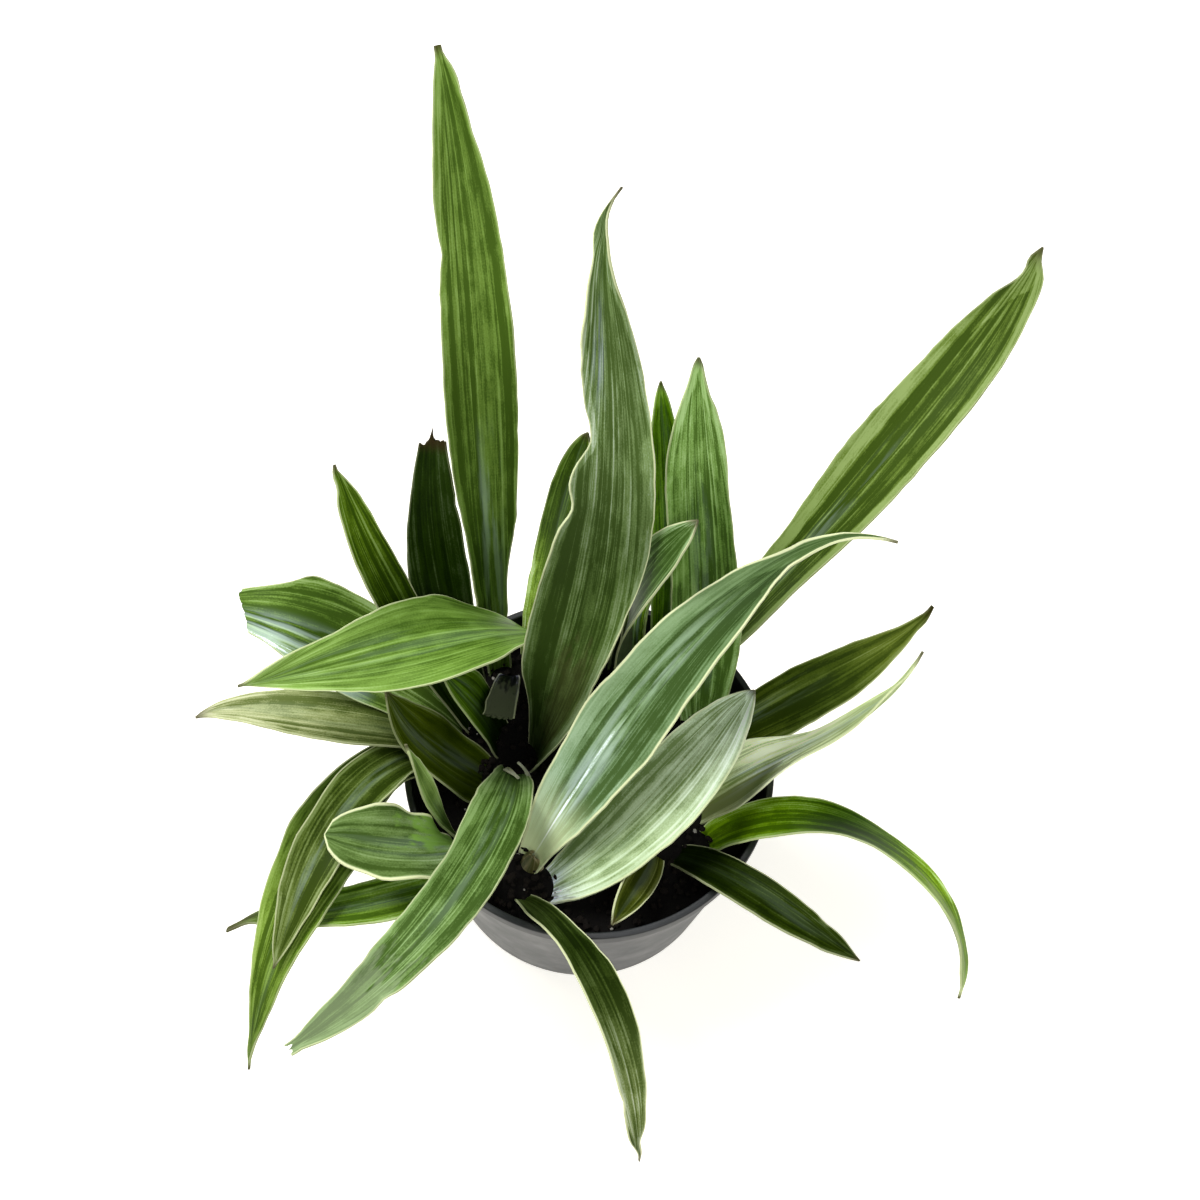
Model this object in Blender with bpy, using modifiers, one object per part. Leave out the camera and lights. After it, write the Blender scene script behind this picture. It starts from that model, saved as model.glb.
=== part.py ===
"""A potted snake plant: soft, arching leaves in a few shoots, in a black nursery pot.

Run in Blender 4.5. Lengths are metres, and +Z is up. The origin is the middle of the pot's foot.
"""
import math
from dataclasses import dataclass

import bmesh
import bpy
import numpy as np
from mathutils import Vector

MM = .001

# The pot is a six-inch moulded nursery pot of the low kind
POT_HEIGHT = 100 * MM
RIM_RADIUS = 80 * MM
FOOT_RADIUS = 64 * MM
WALL = 1.6 * MM
FLOOR = 2 * MM
LIP_HEIGHT = 6.5 * MM
LIP_OUT = 2.4 * MM
LIP_ROUND = 1 * MM
DRAINS = 8
DRAIN_RADIUS = 5 * MM
DRAIN_CIRCLE = 50 * MM
TURN_STEPS = 48

# The soil fills the pot to a finger's width below the lip
SOIL_TOP = 86 * MM
SOIL_CROWN = 1 * MM
GAP = .3 * MM

# A blade is thickest along the middle of its foot, and thin at both margins
LEAF_FOOT_Z = 72 * MM
FOOT_THICKNESS = 2.2 * MM
BLADE_THICKNESS = 1.3 * MM
MARGIN_THICKNESS = .8 * MM
TIP_WIDTH = 1.8 * MM
TEAR_DEPTH = 2 * MM
STRIPS_ACROSS = 4
STATION_LENGTH = 16 * MM
PATH_STEPS = 48

# Each leaf stands in a plain round hole, which follows the lean of its foot
HOLE_SIDES = 14
HOLE_CLEARANCE = .5 * MM
HOLE_DEPTH = SOIL_TOP - LEAF_FOOT_Z
HOLE_LENGTH = 26 * MM


@dataclass
class Leaf:
    """One blade. Sizes are millimetres, and angles are degrees.

    heading, lean and roll are given at the foot, the middle and the tip of the blade: the compass
    heading that the midrib takes, its lean from upright, and the twist of the blade about it.
    hook is a last turn of the heading over the tip. widest says how far along the blade is
    widest, point how quickly it tapers from there, and foot how wide it starts. cup is how far
    it folds up around its midrib, and wave is the height, the count and the start of the waves
    along its margins. A torn blade ends at torn_at of its length.
    """
    name: str
    root: tuple
    length: float
    width: float
    heading: tuple
    lean: tuple
    roll: tuple = (0, 0, 0)
    hook: float = 0
    widest: float = .5
    point: float = 1.1
    torn_at: float = 1
    wave: tuple = (0, 3, 0)
    foot: float = .42
    cup: float = .15
    base_cup: float = .6


LEAVES = [
    # Leaves behind the left side
    Leaf("tall_left", root=(-44, 48), length=288, width=29, heading=(107, 100, 112), lean=(15, 32, 49),
         roll=(15, 5, -5), widest=.56, point=.85, wave=(1, 3, .4)),
    Leaf("torn_back_left", root=(-52, 33), length=195, width=24, heading=(134, 111, 54),
         lean=(21, 18, 26), roll=(0, -5, 20), widest=.45, point=1.2, torn_at=.8),
    Leaf("slim_back_left", root=(-53, 20), length=159, width=21, heading=(166, 144, 114),
         lean=(14, 29, 53), roll=(5, 15, 0), hook=9, widest=.53, point=.9),
    Leaf("torn_left", root=(-56, 19), length=164, width=41, heading=(169, 167, 180), lean=(10, 67, 110),
         roll=(15, -15, 35), widest=.56, point=1.6, torn_at=.8, wave=(1.5, 2.5, .6), foot=.22),
    Leaf("stub_centre", root=(-39, 46), length=116, width=14, heading=(-82, -94, -82),
         lean=(0, 69, 105), roll=(-5, 0, -5), widest=.62, point=1.1, torn_at=.6),
    # Leaves behind the middle
    Leaf("bright_left", root=(-3, 58), length=205, width=39, heading=(-152, -150, -175),
         lean=(9, 62, 118), roll=(85, 15, -75), hook=-4, widest=.55, point=1.4, wave=(1.5, 3, .3),
         foot=.3),
    Leaf("behind_centre", root=(-30, 54), length=144, width=23, heading=(76, 65, 58), lean=(16, 19, 16),
         roll=(15, -25, 10), hook=-9, widest=.6, point=.65),
    # The middle shoot
    Leaf("wavy_centre", root=(-24, 6), length=277, width=38, heading=(17, 85, 103), lean=(8, 33, 48),
         roll=(-20, 15, -10), hook=-45, widest=.35, point=1.36, wave=(3, 3.5, .1), foot=.35),
    Leaf("arching_front_left", root=(-34, 2), length=204, width=26, heading=(-81, -113, -157),
         lean=(20, 77, 130), roll=(-20, 0, -5), hook=1, widest=.45, point=.91, wave=(1.2, 4, .2)),
    Leaf("short_centre_left", root=(-40, 14), length=74, width=30, heading=(164, 177, 175),
         lean=(11, 18, 37), roll=(-5, 10, -5), widest=.55, point=1.05),
    Leaf("brown_left", root=(-42, -5), length=80, width=35, heading=(195, 167, 130), lean=(24, 41, 44),
         roll=(-20, 20, 15), widest=.43, point=1, wave=(1, 2, 0)),
    # The left shoot, which hangs over the lip
    Leaf("low_left", root=(-58, 11), length=142, width=27, heading=(-145, -176, -189),
         lean=(11, 73, 126), roll=(-10, 15, 5), hook=20, widest=.53, point=.95),
    Leaf("drooping_left_upper", root=(-61, 2), length=157, width=23, heading=(-157, -118, -105),
         lean=(10, 76, 135), roll=(-15, -5, -10), hook=-6, widest=.52, point=.95),
    Leaf("drooping_left_lower", root=(-66, -1), length=202, width=36, heading=(-133, -116, -102),
         lean=(5, 102, 155), roll=(-20, -5, 25), hook=-5, widest=.33, point=1.55, wave=(1.2, 3, 0)),
    # The young shoot at the front left
    Leaf("low_front_left", root=(-38, -46), length=151, width=21, heading=(-115, -164, -184),
         lean=(4, 95, 137), roll=(-15, 15, 10), widest=.5, point=1.2, wave=(1, 3, .1)),
    Leaf("pup_broad", root=(-50, -36), length=98, width=32, heading=(-93, -148, -193),
         lean=(15, 39, 94), roll=(0, 0, -10), hook=12, widest=.66, point=.77, wave=(1.5, 3, 0)),
    Leaf("pup_upright", root=(-53, -30), length=95, width=11, heading=(197, 172, 174), lean=(18, 11, 8),
         roll=(20, 0, 25), widest=.5, point=1.1),
    # The front shoot
    Leaf("long_front", root=(-24, -44), length=236, width=35, heading=(34, 47, 16), lean=(22, 51, 91),
         roll=(0, 0, -35), hook=-36, widest=.38, point=1.55, wave=(1.5, 3, .5), foot=.38),
    Leaf("broad_front", root=(-18, -53), length=138, width=34, heading=(3, 42, 57), lean=(35, 56, 82),
         roll=(-10, 5, -15), hook=-10, widest=.55, point=.72, wave=(1, 2, .3)),
    Leaf("drooping_front", root=(-26, -56), length=164, width=16, heading=(-45, -60, -86),
         lean=(20, 93, 173), roll=(-20, -20, 5), hook=5, widest=.5, point=1.2),
    # The right shoots
    Leaf("dark_right", root=(49, 14), length=134, width=25, heading=(26, 23, 50), lean=(25, 61, 85),
         roll=(-20, 0, 20), hook=4, widest=.47, point=1.3),
    Leaf("upright_right", root=(48, 31), length=206, width=33, heading=(98, 115, 95), lean=(9, 18, 26),
         roll=(-15, 0, -15), hook=-5, widest=.36, point=.65, wave=(1, 3, .2)),
    Leaf("twisted_right", root=(45, -12), length=135, width=28, heading=(23, 23, 60), lean=(25, 62, 77),
         roll=(20, -45, -65), hook=8, widest=.38, point=1.28, wave=(1.5, 2.5, .2)),
    Leaf("drooping_right", root=(51, -27), length=187, width=26, heading=(14, -24, -77),
         lean=(16, 97, 167), roll=(15, -40, -70), hook=-6, widest=.44, point=1.24, wave=(1, 3, 0)),
    Leaf("low_front_right", root=(38, -31), length=112, width=20, heading=(-39, -35, -21),
         lean=(22, 72, 127), roll=(10, -10, 10), hook=6, widest=.55, point=1.05),
    Leaf("small_front", root=(30, -26), length=63, width=16, heading=(-89, -108, -120),
         lean=(36, 55, 95), roll=(5, -35, -5), hook=4, widest=.51, point=.8),
    # The shoot at the back right
    Leaf("tall_right", root=(30, 43), length=267, width=35, heading=(21, 42, 55), lean=(25, 46, 60),
         roll=(-20, -15, 15), hook=2, widest=.66, point=.84, wave=(1.2, 3, .1)),
    Leaf("slim_behind", root=(29, 59), length=167, width=19, heading=(84, 106, 113), lean=(6, 19, 20),
         roll=(-5, 20, -15), hook=-6, widest=.52, point=.75),
    Leaf("short_behind_right", root=(15, 45), length=148, width=30, heading=(-3, 4, 28),
         lean=(0, 2, 43), roll=(-10, -10, 10), hook=3, widest=.56, point=.75),
    Leaf("curled_behind_right", root=(17, 60), length=125, width=14, heading=(65, 30, 3),
         lean=(2, 6, 60), roll=(0, 0, -5), widest=.5, point=.8),
    Leaf("rolled_spear", root=(6, 54), length=58, width=11, heading=(48, 57, 59), lean=(13, 8, 21),
         roll=(15, 20, 0), widest=.45, point=1, cup=1.3, base_cup=1.3),
]

# Which blades are not the usual dark striped green
PALE_LEAVES = ("bright_left", "pup_upright", "rolled_spear", "curled_behind_right")
BROWN_LEAVES = ("stub_centre", "brown_left")


def clear_scene():
    for obj in list(bpy.data.objects):
        bpy.data.objects.remove(obj, do_unlink=True)


def new_collection(name, parent):
    collection = bpy.data.collections.new(name)
    parent.children.link(collection)
    return collection


def linear(hex_colour):
    """A hex sRGB colour as the linear values that a shader takes."""
    channels = [int(hex_colour[i:i + 2], 16) / 255 for i in (0, 2, 4)]
    return [c / 12.92 if c <= .04045 else ((c + .055) / 1.055) ** 2.4 for c in channels] + [1]


def new_material(name, hex_colour, roughness):
    material = bpy.data.materials.new(name)
    material.use_nodes = True
    shader = material.node_tree.nodes["Principled BSDF"]
    shader.inputs["Base Color"].default_value = linear(hex_colour)
    shader.inputs["Roughness"].default_value = roughness
    shader.inputs["Metallic"].default_value = 0
    return material


def move_to(obj, collection):
    for home in list(obj.users_collection):
        home.objects.unlink(obj)
    collection.objects.link(obj)


def as_cutter(obj, collection):
    move_to(obj, collection)
    obj.hide_render = True
    obj.display_type = "WIRE"


def turned(name, profile, material, collection):
    """A solid turned about Z from (radius, height) points that run down its outer side."""
    mesh = bpy.data.meshes.new(name)
    points = [(radius, 0, height) for radius, height in profile]
    mesh.from_pydata(points, [(i, i + 1) for i in range(len(points) - 1)], [])
    obj = bpy.data.objects.new(name, mesh)
    collection.objects.link(obj)
    screw = obj.modifiers.new("Turn", "SCREW")
    screw.steps = TURN_STEPS
    screw.render_steps = TURN_STEPS
    screw.use_merge_vertices = True
    screw.merge_threshold = .00001
    mesh.materials.append(material)
    return obj


def wall_radius(height):
    """The pot's outer radius below the lip: it tapers evenly to the foot."""
    top = RIM_RADIUS - LIP_OUT
    return FOOT_RADIUS + (top - FOOT_RADIUS) * height / (POT_HEIGHT - LIP_HEIGHT)


def inner_radius(height):
    return wall_radius(height) - WALL


def make_pot(material, collection, cutters):
    lip_foot = POT_HEIGHT - LIP_HEIGHT
    profile = [
        (0, FLOOR),
        (inner_radius(FLOOR) - LIP_ROUND, FLOOR),
        (inner_radius(FLOOR + LIP_ROUND), FLOOR + LIP_ROUND),
        (inner_radius(POT_HEIGHT - LIP_ROUND), POT_HEIGHT - LIP_ROUND),
        (inner_radius(POT_HEIGHT) + LIP_ROUND, POT_HEIGHT),
        (RIM_RADIUS - LIP_ROUND, POT_HEIGHT),
        (RIM_RADIUS, POT_HEIGHT - LIP_ROUND),
        (RIM_RADIUS, lip_foot + LIP_ROUND / 2),
        (RIM_RADIUS - LIP_ROUND / 2, lip_foot),
        (wall_radius(lip_foot), lip_foot),
        (wall_radius(LIP_ROUND), LIP_ROUND),
        (FOOT_RADIUS - LIP_ROUND, 0),
        (0, 0),
    ]
    pot = turned("pot", profile, material, collection)
    for i in range(DRAINS):
        angle = math.tau * (i + .5) / DRAINS
        place = (DRAIN_CIRCLE * math.cos(angle), DRAIN_CIRCLE * math.sin(angle), FLOOR / 2)
        bpy.ops.mesh.primitive_cylinder_add(
            vertices=12, radius=DRAIN_RADIUS, depth=FLOOR * 3, location=place)
        drain = bpy.context.object
        drain.name = f"drain_{i + 1}"
        as_cutter(drain, cutters)
    cut_by_all(pot, cutters)


def cut_by_all(obj, cutters):
    cut = obj.modifiers.new("Cut", "BOOLEAN")
    cut.operation = "DIFFERENCE"
    cut.operand_type = "COLLECTION"
    cut.collection = cutters
    cut.solver = "EXACT"


def drop_crumbs(obj):
    """Apply the cuts, and keep only the largest body: crumbs are left where holes meet."""
    bpy.context.view_layer.update()
    cut_mesh = bpy.data.meshes.new_from_object(obj.evaluated_get(bpy.context.evaluated_depsgraph_get()))
    body = bmesh.new()
    body.from_mesh(cut_mesh)
    left = set(body.verts)
    bodies = []
    while left:
        found = {left.pop()}
        edge_of_search = list(found)
        while edge_of_search:
            vertex = edge_of_search.pop()
            near = {edge.other_vert(vertex) for edge in vertex.link_edges} & left
            found |= near
            left -= near
            edge_of_search.extend(near)
        bodies.append(found)
    bodies.sort(key=len)
    for crumb in bodies[:-1]:
        bmesh.ops.delete(body, geom=list(crumb), context="VERTS")
    body.to_mesh(cut_mesh)
    body.free()
    obj.modifiers.clear()
    obj.data = cut_mesh


def make_soil(material, collection, cutters):
    bottom = FLOOR + GAP
    profile = [
        (0, SOIL_TOP),
        (inner_radius(SOIL_TOP) * .9, SOIL_TOP),
        (inner_radius(SOIL_TOP - SOIL_CROWN) - GAP, SOIL_TOP - SOIL_CROWN),
        (inner_radius(FLOOR + LIP_ROUND) - GAP, FLOOR + LIP_ROUND + GAP),
        (inner_radius(FLOOR) - LIP_ROUND - GAP, bottom),
        (0, bottom),
    ]
    soil = turned("soil", profile, material, collection)
    cut_by_all(soil, cutters)
    drop_crumbs(soil)


def through_three(values, s):
    """The smooth curve through a value at the foot, the middle and the tip."""
    foot, middle, tip = values
    return foot + (4 * middle - 3 * foot - tip) * s + 2 * (foot - 2 * middle + tip) * s * s


def angles(leaf, s):
    hook = leaf.hook * np.clip((s - .8) / .2, 0, None) ** 2
    return np.radians(through_three(leaf.heading, s) + hook), np.radians(through_three(leaf.lean, s))


def direction(leaf, s):
    """The unit vectors along the midrib at each s."""
    heading, lean = angles(leaf, s)
    sin_lean = np.sin(lean)
    return np.stack([sin_lean * np.cos(heading), sin_lean * np.sin(heading), np.cos(lean)], -1)


def midrib(leaf, s):
    """The midrib's points: the sum of short steps, each along its own direction."""
    marks = np.linspace(0, 1, PATH_STEPS + 1)
    steps = direction(leaf, (marks[1:] + marks[:-1]) / 2) * leaf.length * MM / PATH_STEPS
    points = np.vstack([np.zeros(3), np.cumsum(steps, 0)])
    points += [leaf.root[0] * MM, leaf.root[1] * MM, LEAF_FOOT_Z]
    return np.stack([np.interp(s, marks, points[:, axis]) for axis in range(3)], -1)


def blade_axes(leaf, s):
    """The unit vectors across the blade, towards its left margin, and out of its upper face."""
    heading, _ = angles(leaf, s)
    level = np.stack([-np.sin(heading), np.cos(heading), 0 * heading], -1)
    upright = np.cross(direction(leaf, s), level)
    roll = np.radians(through_three(leaf.roll, s))[..., None]
    across = np.cos(roll) * level + np.sin(roll) * upright
    out = np.cos(roll) * upright - np.sin(roll) * level
    return across, out


def blade_width(leaf, s):
    toward_foot = np.clip(1 - s / leaf.widest, 0, 1)
    toward_tip = np.clip((s - leaf.widest) / (1 - leaf.widest), 0, 1)
    lower = 1 - (1 - leaf.foot) * toward_foot ** 1.7
    upper = (1 - toward_tip ** 2) ** leaf.point
    return np.maximum(leaf.width * np.where(s < leaf.widest, lower, upper) * MM, TIP_WIDTH)


def blade_points(leaf, u, s):
    """Points of the blade's middle surface, u from -1 to 1 across it and s along it."""
    across, out = blade_axes(leaf, s)
    half = blade_width(leaf, s) / 2
    fold = 2 * (leaf.cup + (leaf.base_cup - leaf.cup) * np.clip(1 - s / .35, 0, 1) ** 2)
    sideways = half * np.sin(fold * u) / fold
    rise = half * (1 - np.cos(fold * u)) / fold
    height, count, start = leaf.wave
    turn = math.tau * (count * s + start + np.where(u > 0, .25, 0))
    fade = np.clip(s / .3, 0, 1) * np.clip((1 - s) / .15, 0, 1)
    rise = rise + height * MM * u ** 2 * np.sin(turn) * fade
    return midrib(leaf, s) + sideways[..., None] * across + rise[..., None] * out


def blade_thickness(u, s):
    middle = FOOT_THICKNESS + (BLADE_THICKNESS - FOOT_THICKNESS) * np.clip(s / .5, 0, 1)
    return MARGIN_THICKNESS + (middle - MARGIN_THICKNESS) * (1 - u ** 2)


def make_leaf(leaf, material, collection):
    """A flat grid that is bent into the blade, and thickened by Solidify."""
    stations = max(8, round(leaf.length * leaf.torn_at * MM / STATION_LENGTH))
    bpy.ops.mesh.primitive_grid_add(x_subdivisions=STRIPS_ACROSS, y_subdivisions=stations, size=2)
    blade = bpy.context.object
    blade.name = "leaf_" + leaf.name
    blade.data.name = blade.name
    flat = np.array([vertex.co for vertex in blade.data.vertices])
    u = -flat[:, 0]
    s = (flat[:, 1] + 1) / 2 * leaf.torn_at
    if leaf.torn_at < 1:
        at_end = flat[:, 1] > .99
        s = s + at_end * np.cos(math.tau * u) * TEAR_DEPTH / (leaf.length * MM)
    blade.data.vertices.foreach_set("co", blade_points(leaf, u, s).ravel())
    group = blade.vertex_groups.new(name="thickness")
    span = FOOT_THICKNESS - MARGIN_THICKNESS
    for i, weight in enumerate((blade_thickness(u, s) - MARGIN_THICKNESS) / span):
        group.add([i], float(weight), "REPLACE")
    split = blade.modifiers.new("Split", "TRIANGULATE")
    split.quad_method = "FIXED"
    thicken = blade.modifiers.new("Thicken", "SOLIDIFY")
    thicken.thickness = FOOT_THICKNESS
    thicken.offset = 0
    thicken.use_rim = True
    thicken.vertex_group = group.name
    thicken.thickness_vertex_group = MARGIN_THICKNESS / FOOT_THICKNESS
    blade.data.materials.append(material)
    move_to(blade, collection)


def make_leaf_hole(leaf, cutters):
    """A round cutter along the leaf's foot, a hair wider and deeper than the blade."""
    s = np.linspace(0, HOLE_LENGTH / (leaf.length * MM), 5)
    u = np.linspace(-1, 1, 5)
    grid_s, grid_u = np.meshgrid(s, u, indexing="ij")
    points = blade_points(leaf, grid_u.ravel(), grid_s.ravel())
    foot, leave = midrib(leaf, s[[0, -1]])
    axis = (leave - foot) / np.linalg.norm(leave - foot)
    centre = points[:len(u)].mean(0)
    from_centre = points - centre
    in_soil = points[:, 2] < SOIL_TOP + BLADE_THICKNESS
    sideways = from_centre - (from_centre @ axis)[:, None] * axis
    radius = np.linalg.norm(sideways[in_soil], axis=1).max() + HOLE_CLEARANCE
    sunk = -(from_centre[:len(u)] @ axis).min() + HOLE_CLEARANCE
    bpy.ops.mesh.primitive_cylinder_add(
        vertices=HOLE_SIDES, radius=radius / math.cos(math.pi / HOLE_SIDES),
        depth=HOLE_LENGTH + sunk, location=centre + axis * (HOLE_LENGTH - sunk) / 2,
        rotation=Vector(axis).to_track_quat("Z", "X").to_euler())
    hole = bpy.context.object
    hole.name = "hole_" + leaf.name
    as_cutter(hole, cutters)


def main():
    clear_scene()
    scene_collection = bpy.context.scene.collection
    plant = new_collection("potted_snake_plant", scene_collection)
    cutters = new_collection("cutters", scene_collection)
    drain_cutters = new_collection("drain_cutters", cutters)
    hole_cutters = new_collection("hole_cutters", cutters)
    green = new_material("striped_leaf", "557A3E", .45)
    pale = new_material("pale_leaf", "8DB35C", .45)
    brown = new_material("brown_leaf", "5A4A30", .6)
    for leaf in LEAVES:
        tone = pale if leaf.name in PALE_LEAVES else brown if leaf.name in BROWN_LEAVES else green
        make_leaf(leaf, tone, plant)
        make_leaf_hole(leaf, hole_cutters)
    make_pot(new_material("black_plastic", "16181A", .45), plant, drain_cutters)
    make_soil(new_material("potting_soil", "1E1712", .95), plant, hole_cutters)


main()
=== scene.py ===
import math
from dataclasses import dataclass

import bpy
import numpy as np
from mathutils import Matrix, Vector


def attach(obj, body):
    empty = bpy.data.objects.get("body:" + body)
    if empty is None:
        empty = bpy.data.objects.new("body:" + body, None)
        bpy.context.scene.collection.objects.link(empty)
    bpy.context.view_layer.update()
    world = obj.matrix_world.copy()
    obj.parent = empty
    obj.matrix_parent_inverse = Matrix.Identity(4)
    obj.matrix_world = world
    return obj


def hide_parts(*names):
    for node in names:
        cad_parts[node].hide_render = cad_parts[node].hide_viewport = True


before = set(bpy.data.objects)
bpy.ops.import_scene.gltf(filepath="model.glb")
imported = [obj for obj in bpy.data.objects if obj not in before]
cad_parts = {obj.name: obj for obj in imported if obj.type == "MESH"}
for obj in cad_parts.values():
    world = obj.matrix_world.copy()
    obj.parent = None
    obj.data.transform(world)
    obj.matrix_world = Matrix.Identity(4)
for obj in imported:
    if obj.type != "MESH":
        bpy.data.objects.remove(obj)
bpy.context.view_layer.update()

MM = .001


# The camera stands in front of the plant and looks steeply down on it, a little rolled, as a
# hand-held phone is. Its lens is a plain one of 50 mm on a frame 36 mm wide.
camera = bpy.data.objects.new("camera", bpy.data.cameras.new("camera"))
bpy.context.collection.objects.link(camera)
camera.data.lens = 50
camera.data.sensor_width = 36
camera.location = (-1 * MM, -300 * MM, 758 * MM)
look_down = Matrix.Rotation(math.radians(30), 3, "X")
hand_roll = Matrix.Rotation(math.radians(4.5), 3, "Z")
camera.rotation_euler = (look_down @ hand_roll).to_euler()
bpy.context.scene.camera = camera
bpy.context.scene.view_settings.view_transform = "Standard"


# The floor is a seamless white sweep, lit so brightly that it is almost shadowless. Like the
# lights, it is only the studio and no part of the plant.
def linear(hex_colour):
    """A hex sRGB colour as the linear values that a shader takes."""
    channels = [int(hex_colour[i:i + 2], 16) / 255 for i in (0, 2, 4)]
    return [c / 12.92 if c <= .04045 else ((c + .055) / 1.055) ** 2.4 for c in channels] + [1]


def add_node(tree, kind, inputs=(), **settings):
    """Adds a shader node. Its inputs, by name or in order, are values, nodes or outputs."""
    made = tree.nodes.new("ShaderNode" + kind)
    for name, value in settings.items():
        setattr(made, name, value)
    named = inputs if isinstance(inputs, dict) else dict(enumerate(inputs))
    for name, value in named.items():
        if isinstance(value, bpy.types.Node):
            value = next(output for output in value.outputs if output.enabled)
        if isinstance(value, bpy.types.NodeSocket):
            tree.links.new(value, made.inputs[name])
        else:
            made.inputs[name].default_value = value
    return made


def new_material(name, roughness, specular=.5):
    """A material with its shader node, for the caller to colour."""
    material = bpy.data.materials.new(name)
    material.use_nodes = True
    shader = material.node_tree.nodes["Principled BSDF"]
    shader.inputs["Roughness"].default_value = roughness
    shader.inputs["Specular IOR Level"].default_value = specular
    return material, material.node_tree, shader


bpy.ops.mesh.primitive_plane_add(size=8, location=(0, 0, -.0002))
floor = bpy.context.object
floor.name = "floor"
sweep, sweep_tree, sweep_shader = new_material("white_sweep", .9, .1)
sweep_shader.inputs["Base Color"].default_value = linear("F4F0E8")
sweep_shader.inputs["Emission Color"].default_value = linear("FFFDF8")
sweep_shader.inputs["Emission Strength"].default_value = .65
floor.data.materials.append(sweep)


def soft_light(name, place, size, watts):
    lamp = bpy.data.objects.new(name, bpy.data.lights.new(name, "AREA"))
    lamp.data.size = size
    lamp.data.energy = watts
    lamp.location = place
    lamp.rotation_euler = (-Vector(place)).to_track_quat("-Z", "Y").to_euler()
    bpy.context.collection.objects.link(lamp)


soft_light("window_light", (-.8, .45, 1.5), .9, 34)
soft_light("room_light", (.6, -.9, 1.6), 1.2, 12)
world = bpy.data.worlds.new("white_room")
world.use_nodes = True
world.node_tree.nodes["Background"].inputs["Color"].default_value = linear("FFFFFF")
world.node_tree.nodes["Background"].inputs["Strength"].default_value = .22
bpy.context.scene.world = world


# The pot is a thin black polypropylene nursery pot, injection moulded in one piece: a tapered
# wall, a rolled lip, a flat floor with drainage holes, and a fine grain that greys in the light.
POT_HEIGHT = 100 * MM
RIM_RADIUS = 80 * MM
FOOT_RADIUS = 64 * MM
WALL = 1.6 * MM
FLOOR = 2 * MM
LIP_HEIGHT = 6.5 * MM
LIP_OUT = 2.4 * MM
LIP_ROUND = .8 * MM
CORNER_OUT = .3 * MM
CORNER_UP = .4 * MM
FOOT_ROUND = .6 * MM
FOOT_SET_IN = 1 * MM
FLOOR_CORNER = 1 * MM
ROUND_SIDES = 160
DRAINS = 8
DRAIN_RADIUS = 5 * MM
DRAIN_CIRCLE = 50 * MM


def wall_radius(height):
    """The pot's outer radius below the lip: it tapers evenly to the foot."""
    top = RIM_RADIUS - LIP_OUT
    return FOOT_RADIUS + (top - FOOT_RADIUS) * height / (POT_HEIGHT - LIP_HEIGHT)


def draw_up(rings, sides):
    """A disc at the first ring, drawn up and out through the other (radius, height) rings."""
    radius, height = rings[0]
    bpy.ops.mesh.primitive_circle_add(
        vertices=sides, radius=radius, fill_type="NGON", location=(0, 0, height))
    bpy.ops.object.mode_set(mode="EDIT")
    for next_radius, next_height in rings[1:]:
        bpy.ops.mesh.extrude_region_move(
            TRANSFORM_OT_translate={"value": (0, 0, next_height - height)})
        scale = next_radius / radius
        bpy.ops.transform.resize(value=(scale, scale, 1), center_override=(0, 0, next_height))
        radius, height = next_radius, next_height
    bpy.ops.object.mode_set(mode="OBJECT")
    return bpy.context.object


def settle(piece, name, replaced=()):
    """Freezes a finished piece where it stands, and hands it to the plant."""
    bpy.ops.object.select_all(action="DESELECT")
    piece.select_set(True)
    bpy.context.view_layer.objects.active = piece
    bpy.ops.object.transform_apply(location=True, rotation=True, scale=True)
    piece.name = name
    piece.data.name = name
    for node in replaced:
        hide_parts(node)
    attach(piece, "root")


def tidy_normals():
    bpy.ops.object.mode_set(mode="EDIT")
    bpy.ops.mesh.select_all(action="SELECT")
    bpy.ops.mesh.normals_make_consistent(inside=False)
    bpy.ops.object.mode_set(mode="OBJECT")


def lip_arc(centre_radius, centre_height, radius, start, stop, steps=6):
    """(radius, height) points round a corner, its angles in degrees from straight out."""
    for i in range(steps + 1):
        angle = math.radians(start + (stop - start) * i / steps)
        yield centre_radius + radius * math.cos(angle), centre_height + radius * math.sin(angle)


lip_foot = POT_HEIGHT - LIP_HEIGHT
inner_top = wall_radius(POT_HEIGHT) - WALL
rings = [
    (FOOT_RADIUS - FOOT_SET_IN, 0),
    (wall_radius(FOOT_ROUND), FOOT_ROUND),
    (wall_radius(lip_foot - CORNER_UP), lip_foot - CORNER_UP),
    (wall_radius(lip_foot) + CORNER_OUT, lip_foot),
    (RIM_RADIUS - CORNER_OUT, lip_foot),
    *lip_arc(RIM_RADIUS - LIP_ROUND, POT_HEIGHT - LIP_ROUND, LIP_ROUND, 0, 90),
    *lip_arc(inner_top + LIP_ROUND, POT_HEIGHT - LIP_ROUND, LIP_ROUND, 90, 180),
    (wall_radius(FLOOR + FLOOR_CORNER) - WALL, FLOOR + FLOOR_CORNER),
    (wall_radius(FLOOR) - WALL - FLOOR_CORNER, FLOOR),
    (DRAIN_CIRCLE / 2, FLOOR),
]
pot = draw_up(rings, ROUND_SIDES)
tidy_normals()
for i in range(DRAINS):
    angle = math.tau * (i + .5) / DRAINS
    place = (DRAIN_CIRCLE * math.cos(angle), DRAIN_CIRCLE * math.sin(angle), FLOOR / 2)
    bpy.ops.mesh.primitive_cylinder_add(
        vertices=24, radius=DRAIN_RADIUS, depth=FLOOR * 3, location=place)
    drain = bpy.context.object
    cut = pot.modifiers.new("Drain", "BOOLEAN")
    cut.object = drain
    bpy.context.view_layer.objects.active = pot
    bpy.ops.object.modifier_apply(modifier=cut.name)
    bpy.data.objects.remove(drain)
bpy.context.view_layer.objects.active = pot
bpy.ops.object.select_all(action="DESELECT")
pot.select_set(True)
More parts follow.
